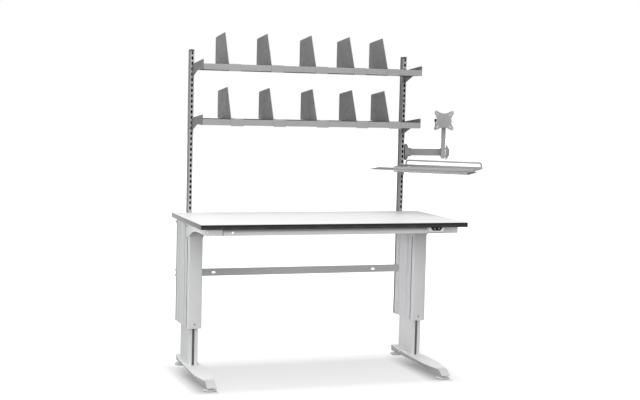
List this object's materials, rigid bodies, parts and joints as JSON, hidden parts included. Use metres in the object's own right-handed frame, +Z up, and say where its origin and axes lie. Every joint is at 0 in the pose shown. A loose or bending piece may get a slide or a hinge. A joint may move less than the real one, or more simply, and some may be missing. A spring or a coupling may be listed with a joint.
{
  "type": "packing table",
  "caption": "Height-adjustable packing table with a pale top, two lifting legs, slotted uprights, divided shelves, a swivelling screen arm and a swing-out keyboard tray",
  "frame": {"origin": "on the floor, under the middle of the whole part's box", "axes": "+X to the right along the worktop as seen from the front, +Y to the rear, +Z up"},
  "size_m": [1.7816, 0.801, 1.8888],
  "materials": {
    "grey_frame_paint": "light grey powder coat, fine texture, satin",
    "cover_paint": "extruded aluminium under a light grey powder coat, satin",
    "upright_paint": "mid grey powder coat, fine texture",
    "shelf_paint": "mid grey powder coat on folded sheet",
    "arm_paint": "mid grey powder coat, fine texture",
    "worktop_laminate": "chipboard under a pale laminate, matte with a fine pearl texture",
    "edge_band": "charcoal plastic edge band, matte",
    "black_plastic": "black moulded plastic, fine grain",
    "black_rubber": "black rubber, matte",
    "drive_casing": "dark grey moulded casing",
    "guide_plastic": "natural white sliding plastic",
    "bright_steel": "bright zinc-plated steel",
    "nut_bronze": "cast bronze, machined"
  },
  "bodies": {
    "left_lower_leg": {"left_foot": "grey_frame_paint", "left_column": "cover_paint", "left_spindle_nut": "nut_bronze"},
    "table": {"worktop_board": "worktop_laminate", "worktop_edge_band": "edge_band", "lift_drives": "drive_casing", "sleeves": "grey_frame_paint", "guide_pads": "guide_plastic", "front_covers": "cover_paint", "rear_covers": "cover_paint", "left_support_arm": "grey_frame_paint", "right_support_arm": "grey_frame_paint", "worktop_rails": "grey_frame_paint", "control_box": "drive_casing", "hand_switch_housing": "grey_frame_paint", "switch_panel": "black_plastic", "rear_stretcher": "grey_frame_paint", "left_upright": "upright_paint", "right_upright": "upright_paint", "upright_mounts": "grey_frame_paint", "frame_fasteners": "bright_steel", "lower_shelf": "shelf_paint", "upper_shelf": "shelf_paint", "lower_shelf_brackets": "shelf_paint", "upper_shelf_brackets": "shelf_paint", "arm_bracket": "arm_paint", "arm_friction_pad": "black_rubber", "tray_bracket": "arm_paint"},
    "right_lower_leg": {"right_foot": "grey_frame_paint", "right_column": "cover_paint", "right_spindle_nut": "nut_bronze"},
    "left_spindle": {"left_spindle": "bright_steel"},
    "right_spindle": {"right_spindle": "bright_steel"},
    "up_button": {"up_button": "black_plastic"},
    "down_button": {"down_button": "black_plastic"},
    "monitor_arm": {"monitor_arm": "arm_paint"},
    "monitor_post": {"monitor_post": "arm_paint", "post_friction_pad": "black_rubber"},
    "screen_head": {"head_clamp": "arm_paint", "tilt_pin": "bright_steel"},
    "screen_plate": {"vesa_plate": "arm_paint"},
    "clamp_lever": {"clamp_lever": "black_plastic"},
    "keyboard_tray": {"tray_support": "arm_paint", "keyboard_tray": "arm_paint", "tray_rail": "bright_steel"},
    "mouse_plate": {"mouse_plate": "arm_paint"},
    "left_front_glide": {"left_front_glide": "bright_steel"},
    "left_rear_glide": {"left_rear_glide": "bright_steel"},
    "right_front_glide": {"right_front_glide": "bright_steel"},
    "right_rear_glide": {"right_rear_glide": "bright_steel"},
    "lower_divider_1": {"lower_divider_1": "shelf_paint"},
    "lower_divider_2": {"lower_divider_2": "shelf_paint"},
    "lower_divider_3": {"lower_divider_3": "shelf_paint"},
    "lower_divider_4": {"lower_divider_4": "shelf_paint"},
    "lower_divider_5": {"lower_divider_5": "shelf_paint"},
    "upper_divider_1": {"upper_divider_1": "shelf_paint"},
    "upper_divider_2": {"upper_divider_2": "shelf_paint"},
    "upper_divider_3": {"upper_divider_3": "shelf_paint"},
    "upper_divider_4": {"upper_divider_4": "shelf_paint"},
    "upper_divider_5": {"upper_divider_5": "shelf_paint"}
  },
  "joints": [
    {"name": "table_lift", "type": "slide", "parent": "left_lower_leg", "child": "table", "axis": [0, 0, 1], "range_m": [-0.18, 0.22]},
    {"name": "right_leg_slide", "type": "slide", "parent": "table", "child": "right_lower_leg", "axis": [0, 0, -1], "range_m": [-0.18, 0.22]},
    {"name": "left_spindle_turn", "type": "hinge", "parent": "table", "child": "left_spindle", "pos_m": [-0.80777, 0.1745, 0.58], "axis": [0, 0, 1], "continuous": true},
    {"name": "left_front_levelling", "type": "slide", "parent": "left_lower_leg", "child": "left_front_glide", "axis": [0, 0, 1], "range_m": [-0.007, 0.003]},
    {"name": "left_rear_levelling", "type": "slide", "parent": "left_lower_leg", "child": "left_rear_glide", "axis": [0, 0, 1], "range_m": [-0.007, 0.003]},
    {"name": "right_spindle_turn", "type": "hinge", "parent": "table", "child": "right_spindle", "pos_m": [0.52623, 0.1745, 0.58], "axis": [0, 0, 1], "continuous": true},
    {"name": "right_front_levelling", "type": "slide", "parent": "right_lower_leg", "child": "right_front_glide", "axis": [0, 0, 1], "range_m": [-0.007, 0.003]},
    {"name": "right_rear_levelling", "type": "slide", "parent": "right_lower_leg", "child": "right_rear_glide", "axis": [0, 0, 1], "range_m": [-0.007, 0.003]},
    {"name": "up_button_press", "type": "slide", "parent": "table", "child": "up_button", "axis": [0, 1, 0], "range_m": [0, 0.0025], "stiffness_N_per_m": 400, "springref_m": -0.001},
    {"name": "down_button_press", "type": "slide", "parent": "table", "child": "down_button", "axis": [0, 1, 0], "range_m": [0, 0.0025], "stiffness_N_per_m": 400, "springref_m": -0.001},
    {"name": "lower_divider_1_slide", "type": "slide", "parent": "table", "child": "lower_divider_1", "axis": [1, 0, 0], "range_m": [-0.05, 0.05]},
    {"name": "lower_divider_2_slide", "type": "slide", "parent": "table", "child": "lower_divider_2", "axis": [1, 0, 0], "range_m": [-0.05, 0.05]},
    {"name": "lower_divider_3_slide", "type": "slide", "parent": "table", "child": "lower_divider_3", "axis": [1, 0, 0], "range_m": [-0.05, 0.05]},
    {"name": "lower_divider_4_slide", "type": "slide", "parent": "table", "child": "lower_divider_4", "axis": [1, 0, 0], "range_m": [-0.05, 0.05]},
    {"name": "lower_divider_5_slide", "type": "slide", "parent": "table", "child": "lower_divider_5", "axis": [1, 0, 0], "range_m": [-0.05, 0.05]},
    {"name": "upper_divider_1_slide", "type": "slide", "parent": "table", "child": "upper_divider_1", "axis": [1, 0, 0], "range_m": [-0.05, 0.05]},
    {"name": "upper_divider_2_slide", "type": "slide", "parent": "table", "child": "upper_divider_2", "axis": [1, 0, 0], "range_m": [-0.05, 0.05]},
    {"name": "upper_divider_3_slide", "type": "slide", "parent": "table", "child": "upper_divider_3", "axis": [1, 0, 0], "range_m": [-0.05, 0.05]},
    {"name": "upper_divider_4_slide", "type": "slide", "parent": "table", "child": "upper_divider_4", "axis": [1, 0, 0], "range_m": [-0.05, 0.05]},
    {"name": "upper_divider_5_slide", "type": "slide", "parent": "table", "child": "upper_divider_5", "axis": [1, 0, 0], "range_m": [-0.05, 0.05]},
    {"name": "arm_swing", "type": "hinge", "parent": "table", "child": "monitor_arm", "pos_m": [0.54923, 0.3275, 1.231], "axis": [0, 0, 1], "range_deg": [-69, 57]},
    {"name": "post_swing", "type": "hinge", "parent": "monitor_arm", "child": "monitor_post", "pos_m": [0.77623, 0.3275, 1.231], "axis": [0, 0, 1], "range_deg": [-15, 100]},
    {"name": "head_height", "type": "slide", "parent": "monitor_post", "child": "screen_head", "axis": [0, 0, 1], "range_m": [-0.1, 0.012]},
    {"name": "screen_tilt", "type": "hinge", "parent": "screen_head", "child": "screen_plate", "pos_m": [0.74267, 0.25213, 1.424], "axis": [0.9135, -0.4067, 0], "range_deg": [-15, 15]},
    {"name": "lever_turn", "type": "hinge", "parent": "screen_plate", "child": "clamp_lever", "pos_m": [0.74267, 0.25213, 1.424], "axis": [0.9135, -0.4067, 0], "range_deg": [-8, 90]},
    {"name": "tray_swing", "type": "hinge", "parent": "table", "child": "keyboard_tray", "pos_m": [0.52623, 0.2605, 1.137], "axis": [0, 0, 1], "range_deg": [-46, 52]},
    {"name": "mouse_plate_slide", "type": "slide", "parent": "keyboard_tray", "child": "mouse_plate", "axis": [0.809, -0.5878, 0], "range_m": [-0.02, 0.13]}
  ],
  "couplings": [
    {"joint": "right_leg_slide", "follows": "table_lift", "ratio": 1},
    {"joint": "left_spindle_turn", "follows": "table_lift", "rad_per_m": 314.16},
    {"joint": "right_spindle_turn", "follows": "table_lift", "rad_per_m": 314.16}
  ]
}
